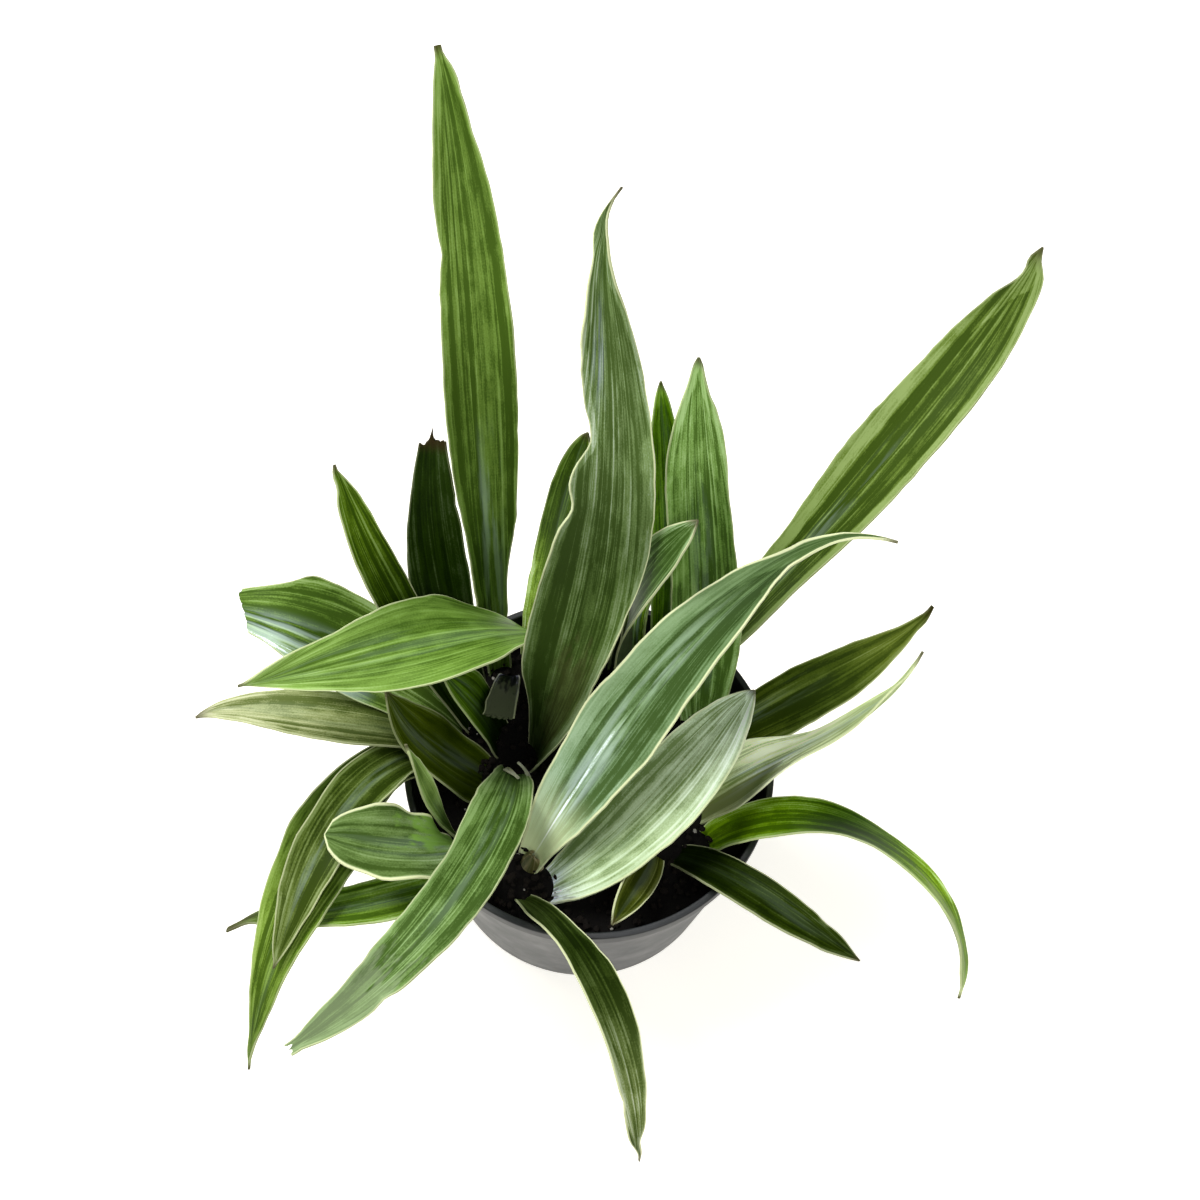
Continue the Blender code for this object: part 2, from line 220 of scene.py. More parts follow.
bpy.ops.object.shade_smooth_by_angle(angle=math.radians(35))

plastic, tree, shader = new_material("moulded_black_polypropylene", .42, .5)
where = add_node(tree, "TexCoord")
# The grain of the mould, a third of a millimetre across, drawn six times as coarse to show
MOULD_GRAIN = .35 * MM
grain = add_node(tree, "TexNoise", {
    "Vector": where.outputs["Object"], "Scale": 1 / (6 * MOULD_GRAIN), "Detail": 4})
# Dust and rubbed places, a few centimetres across
DUST_PATCH = 26.3 * MM
dust = add_node(tree, "TexNoise", {
    "Vector": where.outputs["Object"], "Scale": 1 / DUST_PATCH, "Detail": 6, "Roughness": .65})
dusty = add_node(tree, "MapRange", (dust, .42, .72))
tone = add_node(tree, "Mix",
                {"Factor": dusty, "A": linear("101214"), "B": linear("24282B")}, data_type="RGBA")
tree.links.new(tone.outputs["Result"], shader.inputs["Base Color"])
rub = add_node(tree, "MapRange", (dust, .3, .7, .36, .55))
tree.links.new(rub.outputs["Result"], shader.inputs["Roughness"])
relief = add_node(tree, "Bump", {"Height": grain, "Strength": .35, "Distance": .12 * MM})
tree.links.new(relief.outputs["Normal"], shader.inputs["Normal"])
pot.data.materials.append(plastic)
settle(pot, "nursery_pot", ["pot"])


# The soil is a dark, damp peat mix, pressed in by hand: a lumpy top, with crumbs of bark and
# white grains of perlite, an expanded volcanic glass, lying in it.
SOIL_TOP = 86 * MM
SOIL_GAP = .3 * MM
SOIL_RINGS = 44
SOIL_CORNER = 1.3 * MM
SOIL_SHOULDER = 3 * MM
EDGE_WIDTH = 5 * MM
EDGE_SINK = 1.5 * MM


def soil_height(x, y):
    """The lumps of the soil's top: a few slow waves and some shorter ones."""
    slow = np.sin(41 * x + 1.3) * np.cos(37 * y - .4) + .6 * np.sin(83 * x - 71 * y)
    short = np.sin(211 * x + 1.7 * np.sin(153 * y)) * np.cos(197 * y + 1.1 * np.sin(171 * x))
    fine = np.sin(523 * x + 2.1 * np.sin(391 * y)) * np.sin(487 * y + 1.6 * np.sin(433 * x))
    return (.9 * slow + .8 * short + .35 * fine - 1.2) * MM


soil_radius = wall_radius(SOIL_TOP) - WALL - SOIL_GAP
soil = draw_up([(wall_radius(FLOOR) - WALL - SOIL_CORNER, FLOOR + SOIL_GAP),
                (wall_radius(FLOOR + SOIL_CORNER) - WALL - SOIL_GAP, FLOOR + SOIL_CORNER),
                (soil_radius, SOIL_TOP - SOIL_SHOULDER)], ROUND_SIDES)
bpy.ops.object.mode_set(mode="EDIT")
for i in range(SOIL_RINGS):
    left = 1 - (i + 1) / (SOIL_RINGS + 1)
    bpy.ops.mesh.extrude_region_move(TRANSFORM_OT_translate={"value": (0, 0, 0)})
    scale = left / (1 - i / (SOIL_RINGS + 1))
    bpy.ops.transform.resize(value=(scale, scale, 1), center_override=(0, 0, SOIL_TOP))
bpy.ops.object.mode_set(mode="OBJECT")
tidy_normals()
for vertex in soil.data.vertices:
    if vertex.co.z > SOIL_TOP - SOIL_SHOULDER - 1 * MM:
        near_wall = max(0, 1 - (soil_radius - vertex.co.xy.length) / EDGE_WIDTH)
        vertex.co.z = SOIL_TOP + soil_height(vertex.co.x, vertex.co.y) - EDGE_SINK * near_wall
soil.data.shade_smooth()

def mottled(tree, shader, spot, detail, harshness, dark, pale):
    """Colours a shader in spots of a size, from dark to pale, and returns their pattern."""
    where = add_node(tree, "TexCoord")
    spots = add_node(tree, "TexNoise", {
        "Vector": where.outputs["Object"], "Scale": 1 / spot, "Detail": detail,
        "Roughness": harshness})
    tone = add_node(tree, "Mix",
                    {"Factor": spots, "A": linear(dark), "B": linear(pale)}, data_type="RGBA")
    tree.links.new(tone.outputs["Result"], shader.inputs["Base Color"])
    return spots


# Near black: damp peat is dark, and it is darkened further as painted shade deep inside the pot
peat, tree, shader = new_material("damp_peat_mix", .95, .2)
lumps = mottled(tree, shader, 2.38 * MM, 7, .7, "020202", "100C09")
rough = add_node(tree, "Bump", {"Height": lumps, "Strength": .9, "Distance": 1 * MM})
tree.links.new(rough.outputs["Normal"], shader.inputs["Normal"])
soil.data.materials.append(peat)
settle(soil, "soil_fill", ["soil"])


def scatter(name, count, size, flatness, material, seed):
    """Small angular grains lying in the soil's top, fused into one piece."""
    reach = .96 * soil_radius
    proud = .3
    draw = np.random.default_rng(seed)
    bpy.ops.mesh.primitive_ico_sphere_add(subdivisions=1, radius=1)
    grain = bpy.context.object
    shape = [vertex.co.copy() for vertex in grain.data.vertices]
    faces = [tuple(face.vertices) for face in grain.data.polygons]
    bpy.data.objects.remove(grain)
    points, corners = [], []
    for _ in range(count):
        radius = reach * math.sqrt(draw.random())
        angle = math.tau * draw.random()
        x, y = radius * math.cos(angle), radius * math.sin(angle)
        half = size * (.5 + draw.random()) / 2
        turn = Matrix.Rotation(math.tau * draw.random(), 3, draw.normal(size=3).tolist())
        z = SOIL_TOP + float(soil_height(x, y)) + half * flatness * proud
        first = len(points)
        for corner in shape:
            knock = Vector((1, 1, 1)) * (.75 + .5 * draw.random())
            bent = turn @ Vector(a * b for a, b in zip(corner, knock))
            points.append((x + bent.x * half, y + bent.y * half, z + bent.z * half * flatness))
        corners += [tuple(first + i for i in face) for face in faces]
    mesh = bpy.data.meshes.new(name)
    mesh.from_pydata(points, [], corners)
    mesh.materials.append(material)
    piece = bpy.data.objects.new(name, mesh)
    bpy.context.collection.objects.link(piece)
    settle(piece, name)


white, tree, shader = new_material("perlite", .8, .3)
shader.inputs["Base Color"].default_value = linear("8F8C84")
bark, tree, shader = new_material("bark_crumbs", .9, .2)
mottled(tree, shader, 3.85 * MM, 3, .5, "040302", "19120C")
scatter("bark_crumbs", 900, 2.6 * MM, .6, bark, 3)
scatter("perlite", 50, 1.5 * MM, .7, white, 5)


# The leaves are thin, fleshy blades with a waxy skin. Each grew from the middle of its shoot, so
# it is folded round the others at its foot, opens flat in its middle and arches over under its
# own weight. The veins run lengthwise, and each margin is a thin cream line.
LEAF_FOOT_Z = 72 * MM
FOOT_THICKNESS = 2.2 * MM
BLADE_THICKNESS = 1.3 * MM
MARGIN_THICKNESS = .8 * MM
NICK_DEPTH = .16
TEAR_DEPTH = .7
NICK_SPACING = 5
TORN_REACH = 10
HOOK_FROM = .8
CUPPED_TO = .35
THICK_TO = .5
STILL_FOOT = .3
STILL_TIP = .15
ALONG_UNIT = 100
MARGIN_UNIT = 10
# No silvery wax and no painted sheen
NO_WAX_OR_SHEEN = (0, .1, 0, .5, 0)
STRIPS_ACROSS = 24
STATION_LENGTH = 2.6 * MM
PATH_STEPS = 48


@dataclass
class Leaf:
    """One blade. Sizes are millimetres, and angles are degrees.

    heading, lean and roll are given at the foot, the middle and the tip of the blade: the compass
    heading that the midrib takes, its lean from upright, and the twist of the blade about it.
    hook is a last turn of the heading over the tip, and twist adds to the roll, in (place along,
    degrees) points. widest says how far along the blade is widest, point how quickly it tapers
    from there, foot how wide it starts and tip how wide it ends, in millimetres. left and right
    say how far each margin stands out from that plain outline, or in if less than 0, in (place
    along, millimetres) points. cup is how far it folds up around its midrib, base_cup how far at
    its foot, and wave is the height, the count and the start of the waves along its margins. A
    torn blade ends at torn_at of its length, give or take the torn points (place across,
    millimetres).

    green is its usual colour, and contrast how strongly it is striped. bands are the widths of
    the paler bands inside its left and right margins, cream and cream_width the strength and the
    width of the margins' cream line, and bloom where a silvery wax with a painted sheen lies on it:
    from and to along it, how thick, how far it spreads, and from which place across. shade is the
    painted light and shade along it: how bright it is, in (place along, level) points. pale_foot is
    how much its foot is bleached, and dry_tip how long its tip is brown. stains are patches of
    another colour: the colour, from and to along in
    millimetres, from and to across (-1 is the right margin), and how much they cover. stripes are
    its plainest ones: place across, width in millimetres, how much paler than the rest, or darker
    if less than 0, and the places along where each begins and ends.
    """
    name: str
    green: str
    root: tuple
    length: float
    width: float
    heading: tuple
    lean: tuple
    roll: tuple = (0, 0, 0)
    hook: float = 0
    widest: float = .5
    point: float = 1.1
    torn_at: float = 1
    torn: tuple = ()
    wave: tuple = (0, 3, 0)
    twist: tuple = ()
    left: tuple = ()
    right: tuple = ()
    tip: float = .7
    foot: float = .42
    cup: float = .15
    base_cup: float = .6
    contrast: float = 1
    bands: tuple = (2, 2)
    cream: float = .6
    cream_width: float = .5
    wax_and_sheen: tuple = (0, 1, .06, .6, 0)
    shade: tuple = ((0, .3), (.4, 1))
    pale_foot: float = 0
    dry_tip: float = 3
    stains: tuple = ()
    stripes: tuple = ()


LEAVES = [
    # Leaves behind the left side
    Leaf("tall_left", "6C8A38", root=(-44, 48), length=288, width=29, heading=(107, 100, 112),
         shade=((0, .6), (.12, .8), (.25, .3), (.35, 1), (.45, .75), (.65, 1.15), (.8, 1), (1, .8)),
         stripes=((.72, 3, -.15, 0, .9), (.5, .8, .2, .3, .9), (.38, .6, .15, 0, .8),
                  (.2, 2, -.12, .1, .7), (-.52, 1, .22, .2, .8), (-.66, .5, .2, .1, .7),
                  (-.78, 3, -.15, 0, .8)),
         lean=(15, 32, 49), roll=(15, 5, -5), widest=.56, point=.85, wave=(1, 3, .4), tip=2.8,
         left=((.2, -1.8), (.3, -2), (.4, 0), (.5, .8), (.6, 0), (.7, -.6), (.735, -1.3), (.76, 0),
               (.9, 1.1), (.98, .5)),
         right=((.16, -3.4), (.25, -3.6), (.3, -1.4), (.4, .4), (.6, .6), (.7, .5), (.8, .9), (.9, 0),
                (.97, 1.2)),
         contrast=.75, bands=(3, 1.5), cream=.35, wax_and_sheen=(.15, .42, .45, .6, -.1)),
    Leaf("torn_back_left", "1E3204", root=(-52, 33), length=195, width=24, heading=(134, 111, 54),
         shade=((0, .3), (.4, 1.1), (.65, 1.1), (.8, 1.5)),
         lean=(21, 18, 26), roll=(0, -5, 20), widest=.45, point=1.2,
         torn_at=.8, torn=((-1, 1), (-.35, 0), (.05, 1), (.2, 8), (.3, 0), (.7, -3), (1, -1)),
         left=((.5, 1), (.6, -.7), (.7, -2), (.8, -2)),
         contrast=.6, bands=(.5, .5), cream=.15, dry_tip=4, wax_and_sheen=NO_WAX_OR_SHEEN),
    Leaf("slim_back_left", "48640C", root=(-53, 20), length=159, width=21, heading=(166, 144, 114),
         shade=((0, .3), (.5, .85), (.65, .35), (.8, 1.6), (1, .9)),
         stripes=((.42, .8, .22, .5, .95), (.05, 3, -.15, .4, 1), (-.5, 2, .2, .5, .8),
                  (-.75, 1, -.15, .5, 1)),
         lean=(14, 29, 53), roll=(5, 15, 0), hook=9, widest=.53, point=.9,
         left=((.6, .3), (.7, .6), (.8, .8), (.85, 1.2), (.9, 1), (.94, .2), (.98, 1)),
         right=((.8, 0), (.9, .8), (.96, 0), (.985, -.6)),
         bands=(1, 2), cream=.5, wax_and_sheen=(0, .5, .1, .5, 0)),
    Leaf("torn_left", "506C24", root=(-56, 19), length=164, width=41, heading=(169, 167, 180),
         shade=((0, 1.2), (.3, 3), (.5, 1.5), (.6, .95), (.7, 1.6), (.8, 1.5)),
         stripes=((.85, 5, .36, .55, 1), (.58, 1.2, .4, .6, 1), (.45, .6, -.2, .5, 1),
                  (.3, .8, .4, .6, 1), (.12, .6, .35, .6, 1), (-.25, 9, -.25, .4, .68)),
         lean=(10, 67, 110), roll=(15, -15, 35), widest=.56, point=1.6,
         torn_at=.79, torn=((-1, 4), (-.6, 4.5), (0, 1), (.6, -3), (1, -5)), wave=(1.5, 2.5, .6),
         left=((.6, 0), (.65, -1.6), (.7, -3.2), (.75, -3)),
         right=((.5, -.5), (.6, 0), (.65, 1), (.69, -2), (.75, -3), (.8, -1.5)),
         foot=.22, cream=.5, wax_and_sheen=(.45, .8, .45, .9, .7), dry_tip=0),
    Leaf("stub_centre", "040604", root=(-39, 46), length=116, width=14, heading=(-82, -94, -82),
         shade=((0, 2), (.1, 3.5), (.3, 5), (.42, 2.4), (.5, 1)),
         lean=(0, 69, 105), roll=(-5, 0, -5), widest=.62,
         torn_at=.54, torn=((-1, 0), (1, 0)), bands=(1, 1), cream=.4, wax_and_sheen=NO_WAX_OR_SHEEN, dry_tip=0,
         stains=(("6C7558", 38, 160, -1.8, 1.8, .5),)),
    # Leaves behind the middle
    Leaf("bright_left", "688A36", root=(-3, 58), length=205, width=39, heading=(-152, -150, -175),
         shade=((0, 1), (.2, 2), (.32, 1), (.5, .95), (.7, 1.2), (.85, 1.7), (1, 1.6)),
         stripes=((.58, .8, .2, .3, .95), (.3, 3, -.15, .3, .8), (.15, .7, .25, .3, .9),
                  (0, 1.5, -.15, .3, .9), (-.15, .6, .2, .3, .8), (-.3, 3, -.12, .4, .9),
                  (-.68, 5, .18, .4, .95)),
         lean=(9, 62, 118), roll=(85, 15, -75), hook=-4, widest=.55, point=1.4, wave=(1.5, 3, .3),
         left=((.35, -1.5), (.43, -3.5), (.5, 1), (.6, 1.3), (.7, .2), (.8, -.3), (.9, 0)),
         right=((.3, 2), (.4, 3.8), (.5, 4.4), (.6, .9), (.7, .2), (.8, 0), (.9, 2.4), (.95, 2)),
         foot=.3, contrast=.55, dry_tip=6),
    Leaf("behind_centre", "52701A", root=(-30, 54), length=144, width=23, heading=(76, 65, 58),
         shade=((0, 1), (.15, 4.5), (.4, 4.2), (.5, 2.2), (.62, .65), (.8, 1), (1, 1.2)),
         lean=(16, 19, 16), roll=(15, -25, 10), hook=-9, widest=.6, point=.65, bands=(1.5, 1.5),
         cream=.4),
    # The middle shoot
    Leaf("wavy_centre", "425824", root=(-24, 6), length=277, width=38, heading=(17, 85, 103),
         shade=((0, .04), (.15, 1.7), (.35, 1.5), (.5, 1.35), (.7, 3.6), (.85, 2.7), (.93, 1), (1, .25)),
         stripes=((.75, 7, -.2, .1, .62), (.38, .7, .2, .3, .8), (.25, 4, -.15, .2, .7),
                  (.05, .8, .2, .2, .7), (-.1, .6, .25, .3, .75), (-.22, 2, -.15, .2, .6),
                  (-.48, 4, .3, .12, .62), (-.78, 2.5, -.15, .3, .8)),
         lean=(8, 33, 48), roll=(-20, 15, -10), hook=-45, widest=.35, point=1.36, wave=(3, 3.5, .1),
         left=((.4, 4.5), (.5, 3.6), (.53, 3.2), (.56, -.6), (.6, 1.8), (.62, 0), (.655, -5.6), (.675, -5),
               (.7, -2.3), (.755, 1.5), (.8, 3.3), (.86, 2.1), (.9, 1.3), (.94, 3.2), (.97, 2.4)),
         right=((.4, -4), (.46, 0), (.5, 1.6), (.6, 2.1), (.7, 3.4), (.735, 3.8), (.8, 2.6), (.86, 0),
                (.925, -1.4), (.96, -2)),
         foot=.35, contrast=.8, bands=(3, 2), cream=.7, wax_and_sheen=(.72, .86, .1, .4, .45), dry_tip=9,
         stains=(("4C4A2C", 25, 85, -.45, .4, .4),)),
    Leaf("arching_front_left", "688646", root=(-34, 2), length=204, width=26, heading=(-81, -113, -157),
         shade=((0, 1.1), (.25, .8), (.45, .78), (.6, .95), (.72, 1.15), (.85, 1), (1, 1.15)),
         stripes=((.75, 6, -.25, .25, .75), (.35, .6, .2, .3, .8), (.2, .6, .25, .2, .85),
                  (.1, 1.5, -.12, .3, .8), (-.02, .6, .25, .2, .8), (-.25, .5, .2, .3, .8),
                  (-.75, 4, .3, .1, .55)),
         lean=(20, 77, 130), roll=(-20, 0, -5), hook=1, widest=.45, point=.91, wave=(1.2, 4, .2), tip=5,
         torn_at=.98, torn=((-1, 3), (-.6, 1), (-.4, -2), (0, 1), (.3, -1), (1, 1)),
         left=((.7, 0), (.75, 0), (.775, -1), (.8, .3), (.85, .8), (.9, 1), (.96, 1)),
         right=((.2, .5), (.3, 1), (.4, 0), (.5, -1.8), (.55, -1.5), (.6, -.5), (.7, .5), (.8, 0), (.9, .8)),
         bands=(2, 1.5), cream=.5, wax_and_sheen=(.2, .6, .2, .4, 0), dry_tip=0,
         stains=(("93A080", 150, 210, -1.2, 1.2, .4),)),
    Leaf("short_centre_left", "466806", root=(-40, 14), length=74, width=30, heading=(164, 177, 175),
         shade=((0, .05), (.3, .1), (.45, .5), (.55, .75), (.75, 1.9), (1, 1.3)),
         lean=(11, 18, 37), roll=(-5, 10, -5), widest=.55, point=1.05, contrast=.7, cream=.4),
    Leaf("brown_left", "364604", root=(-42, -5), length=80, width=35, heading=(195, 167, 130),
         shade=((0, 1.5), (.3, 1.3), (.5, 1), (.7, 1.8), (1, 1.6)),
         lean=(24, 41, 44), roll=(-20, 20, 15), widest=.43, point=1, wave=(1, 2, 0), contrast=.5,
         cream=.3),
    # The left shoot, which hangs over the lip
    Leaf("low_left", "848E5A", root=(-58, 11), length=142, width=27, heading=(-145, -176, -189),
         shade=((0, .3), (.35, .45), (.5, .8), (.7, 1.2), (1, 1.5)),
         lean=(11, 73, 126), roll=(-10, 15, 5), hook=20, widest=.53, point=.95,
         left=((.4, -.4), (.5, .8), (.6, .5), (.7, -.8), (.8, -1.5), (.9, -1)),
         cream=.5, dry_tip=10),
    Leaf("drooping_left_upper", "4E6024", root=(-61, 2), length=157, width=23,
         shade=((0, 1), (.3, 1), (.45, .85), (.65, .9), (.85, 1.5), (1, 1.3)),
         heading=(-157, -118, -105), lean=(10, 76, 135), roll=(-15, -5, -10), hook=-6, widest=.52,
         point=.95, left=((.2, -2), (.3, -3), (.4, -1.1), (.5, -1.1), (.6, 0)),
         right=((.5, 0), (.6, -1), (.7, 0)), bands=(1.5, 2), cream=.5, wax_and_sheen=(.3, .8, .2, .3, 0)),
    Leaf("drooping_left_lower", "769436", root=(-66, -1), length=202, width=36,
         shade=((0, .1), (.38, .06), (.5, .55), (.65, 1.15), (.8, .85), (.9, .52), (1, .3)),
         heading=(-133, -116, -102), lean=(5, 102, 155), roll=(-47, -5, 25), hook=-5, widest=.33,
         point=1.55, wave=(1.2, 3, 0),
         left=((.1, -6), (.2, -12), (.3, -12), (.4, -5), (.5, -1.5), (.6, 0), (.7, 0), (.8, .3)),
         right=((.3, 0), (.4, .8), (.45, 1.5), (.5, .3), (.6, 0), (.7, -1.5), (.75, -1.9), (.8, -1.5),
                (.85, -.7), (.9, 0), (.95, 1.2)),
         cream=.4),
    # The young shoot at the front left
    Leaf("low_front_left", "4A6814", root=(-38, -46), length=151, width=21, heading=(-115, -164, -184),
         shade=((0, 2), (.3, 3.6), (.5, 1.2), (.65, 2), (.8, 1), (1, 1.2)),
         lean=(4, 95, 137), roll=(-15, 15, 10), point=1.2, wave=(1, 3, .1),
         left=((.7, -1), (.8, -3), (.9, -3), (.95, -1)),
         right=((.75, 1), (.85, 3), (.9, 3), (.95, 1.5)), tip=2.5, contrast=.8, cream=.4, dry_tip=30),
    Leaf("pup_broad", "607A3E", root=(-50, -36), length=98, width=32, heading=(-93, -148, -193),
         shade=((0, 3), (.3, 3.6), (.5, 1.6), (.7, 1.1), (1, 1)),
         lean=(15, 39, 94), roll=(0, 0, -10), hook=12, widest=.66, point=.52,
         wave=(1.5, 3, 0), left=((.55, .5), (.65, -.6), (.75, .6), (.82, -.5), (.9, .3)),
         right=((.5, 0), (.6, -.6), (.7, .5), (.9, .8)),
         contrast=.8, bands=(1.5, 1.5), cream=1, cream_width=1.1, wax_and_sheen=(.3, .9, .08, .5, 0), dry_tip=0,
         stains=(("7DA844", -20, 56, -1.6, .05, .85),)),
    Leaf("pup_upright", "80A04C", root=(-53, -30), length=95, width=11, heading=(197, 172, 174),
         shade=((0, .1), (.3, .3), (.4, 1.8), (.5, 1), (.65, 1.6), (.8, .9), (1, 1.4)),
         lean=(18, 11, 8), roll=(20, 0, 25),
         right=((.1, -4), (.2, -3.3), (.3, -2), (.5, 0)), contrast=.5),
    # The front shoot
    # Its palest stripe, just off the midrib on the lower part, is a painted sheen along the fold
    Leaf("long_front", "6A8658", root=(-24, -44), length=236, width=35, heading=(34, 47, 16),
         shade=((0, 2), (.12, 1.7), (.25, 1.3), (.42, .95), (.6, .82), (.75, .5), (1, .32)),
         stripes=((.75, 8, .15, .1, .9), (-.42, 10, -.16, .2, .85), (.12, 1.6, .9, 0, .42),
                  (-.2, .6, .2, .3, .8), (-.05, .5, .2, .3, .8), (-.6, .5, .15, .3, .8)),
         lean=(22, 51, 91), roll=(0, 0, -35), hook=-36, widest=.38, point=1.55, wave=(1.5, 3, .5),
         left=((.1, -.6), (.2, .8), (.3, .6), (.4, 1.7), (.5, 0), (.6, 1.8), (.7, 1.6), (.75, 1), (.8, -1),
               (.85, 0), (.9, .8)),
         right=((.1, -4), (.2, -3), (.3, -2.6), (.4, -1), (.5, -.8), (.6, .5), (.7, -.5), (.8, -3.7),
                (.85, -1.5), (.9, .3), (.93, 1.2), (.97, 1.8)),
         foot=.38, contrast=.7, bands=(7, 3), cream=.9, cream_width=.9, wax_and_sheen=(.1, .66, .5, .42, .1),
         pale_foot=1, dry_tip=5),
    Leaf("broad_front", "D4E8C4", root=(-18, -53), length=138, width=34, heading=(3, 42, 57),
         shade=((0, 3.5), (.1, 1.3), (.2, .72), (.35, .6), (.6, .7), (.8, .9), (1, 1.05)),
         stripes=((.9, 3, -.1, .2, .9), (.55, .6, -.12, .1, .9), (.35, 1, .12, .1, .9),
                  (.2, .8, -.15, .2, .9), (.05, 1, .15, 0, .8), (-.1, 1.5, -.15, .3, .9),
                  (-.42, 5, .15, .2, .9), (-.72, .8, -.12, .1, .9), (-.85, 2, .12, .1, .9)),
         lean=(35, 56, 82), roll=(-10, 5, -15), hook=-10, widest=.55, point=.72, wave=(1, 2, .3),
         right=((.7, 0), (.8, 1), (.9, .9), (.95, .8)),
         contrast=.7, bands=(2, 5), cream_width=.8, wax_and_sheen=(.02, .4, .5, .6, .1), dry_tip=2,
         stains=(("2E2A10", 0, 16, -1.2, -.1, .6),)),
    Leaf("drooping_front", "465822", root=(-26, -56), length=164, width=16, heading=(-45, -60, -86),
         shade=((0, 1), (.15, 1), (.3, .25), (.45, .37), (.6, 1.1), (.75, 3.4), (.85, 2.8), (.93, .8),
                (1, .2)),
         lean=(20, 93, 173), roll=(-20, -20, 5), hook=5, point=1.2,
         left=((.2, -1.3), (.3, -.8), (.4, .4), (.45, 1.3), (.5, 1.2), (.6, .4), (.7, -1), (.8, -1.4),
               (.85, -1.4), (.9, -2.1), (.95, -.2)),
         right=((.15, 1.5), (.2, 2.5), (.3, .2), (.5, .4), (.6, 0), (.7, .7), (.8, .9), (.85, 1.7),
                (.9, 1.6), (.93, .5), (.96, -.2)),
         bands=(1, .6), cream=.8, wax_and_sheen=NO_WAX_OR_SHEEN, dry_tip=8),
    # The right shoots
    Leaf("dark_right", "54661C", root=(45.7, 15.2), length=134, width=25, heading=(26, 23, 50),
         shade=((0, .3), (.3, 1.1), (.45, .5), (.6, .8), (.7, .8), (.85, 1.9), (1, .8)),
         stripes=((.78, 4, .2, .1, .9), (.3, 6, .1, .25, .45), (.15, .8, .25, .2, .55),
                  (.4, .6, .2, .2, .5), (-.2, 8, -.25, .2, .6), (-.75, 4, -.15, .2, .6)),
         lean=(35, 61, 87), roll=(-14, 6, 20), cup=.02, hook=4, widest=.47, point=1.3, tip=1.5,
         left=((.5, -.5), (.6, -1.1), (.7, -.6), (.8, -.8), (.9, -.5), (.95, 0)),
         right=((.3, 2), (.4, 2.5), (.5, 1.2), (.6, 1.2), (.7, .7), (.8, .3), (.9, .2), (.96, 1.3)),
         contrast=.8, bands=(1, .5), cream=.5, wax_and_sheen=(.15, .45, .3, .5, .2), dry_tip=9),
    Leaf("upright_right", "64883A", root=(48, 31), length=206, width=33, heading=(98, 115, 95),
         shade=((0, 2), (.15, 1.8), (.28, 1.9), (.45, 1.05), (.58, .7), (.72, 1.2), (.85, 1.9), (1, 1.1)),
         stripes=((.6, 4, .2, .5, .95), (.2, 2.5, .15, .4, .95), (0, 2, -.12, .3, .9),
                  (-.3, 3.5, -.3, .25, .78), (-.58, 1.5, .25, .2, .9), (-.42, .8, .25, .5, .72),
                  (-.85, 1, -.15, .2, .8)),
         lean=(9, 18, 26), roll=(-15, 0, -15), hook=-5, widest=.36, point=.65, wave=(1, 3, .2),
         left=((.7, 0), (.75, .8), (.8, .8), (.85, 0), (.9, -.7), (.95, -1.8)),
         right=((.5, 0), (.6, -.8), (.7, -.9), (.75, 0), (.8, 1.1), (.9, .4), (.95, -1)),
         bands=(3, 3), cream=.4, wax_and_sheen=(.2, .7, .12, .5, 0), contrast=1.1),
    Leaf("twisted_right", "B2C682", root=(45, -12), length=135, width=28, heading=(23, 23, 60),
         shade=((0, 1.8), (.12, .75), (.25, 1.3), (.35, 2.6), (.5, 2.2), (.7, 1.05), (1, 1.4)),
         stripes=((.5, 6, .12, .3, .7), (.1, 3, -.2, .2, .5), (-.5, 9, -.45, 0, .38)),
         lean=(25, 62, 77), roll=(20, -45, -65), hook=8, widest=.38, point=1.28, wave=(1.5, 2.5, .2),
         left=((.2, 2.5), (.3, 4.5), (.4, 1.8), (.5, .7), (.6, -1.3), (.7, -3.1), (.75, -2.5), (.8, -.5),
               (.85, 1.2), (.9, 2.5), (.95, 2)),
         right=((.2, 1), (.3, 2), (.4, 2.8), (.45, 2), (.5, 0), (.6, -1.1), (.7, .8), (.75, 1.5), (.8, 2.2),
                (.85, .8), (.9, 0), (.95, -.8)),
         contrast=.45, wax_and_sheen=(.2, .9, .3, .6, 0), dry_tip=8,
         stains=(("6E6A4A", 10, 62, -1.3, -.1, .5),)),
    Leaf("drooping_right", "486A04", root=(51, -27), length=187, width=26, heading=(14, -24, -77),
         shade=((0, 3), (.2, 2.6), (.35, .5), (.45, .33), (.55, 1.4), (.65, 3.6), (.85, 2.8), (1, 2)),
         stripes=((.6, 5, .12, .2, .5), (.25, .6, .2, .2, .6), (.05, 3, -.2, .1, .6), (-.2, .6, .2, .2, .6),
                  (-.5, 4, -.12, .1, .5)),
         lean=(16, 97, 167), roll=(15, -40, -70), hook=-6, widest=.44, point=1.24, wave=(1, 3, 0),
         twist=((.6, 0), (.8, 18), (.95, 20)),
         left=((.3, .4), (.4, .5), (.5, 0), (.6, -1.9), (.65, -2.9), (.7, -3.2), (.75, -.9), (.8, 0)),
         contrast=.8, cream=.5, wax_and_sheen=NO_WAX_OR_SHEEN,
         stains=(("121605", 16, 30, -.3, .4, .35), ("A3AD84", 120, 190, -1.2, 0, .45))),
    Leaf("low_front_right", "2C3C04", root=(38, -31), length=112, width=20, heading=(-39, -35, -21),
         shade=((0, .15), (.2, .4), (.4, .4), (.55, .65), (.7, .9), (.85, .9), (1, .65)),
         lean=(22, 72, 127), roll=(10, -10, 10), hook=6, widest=.55, point=1.05,
         left=((.3, -.5), (.4, -1.2), (.5, -1.9), (.6, -2.3), (.7, -2.1), (.8, -1.6), (.9, 0)),
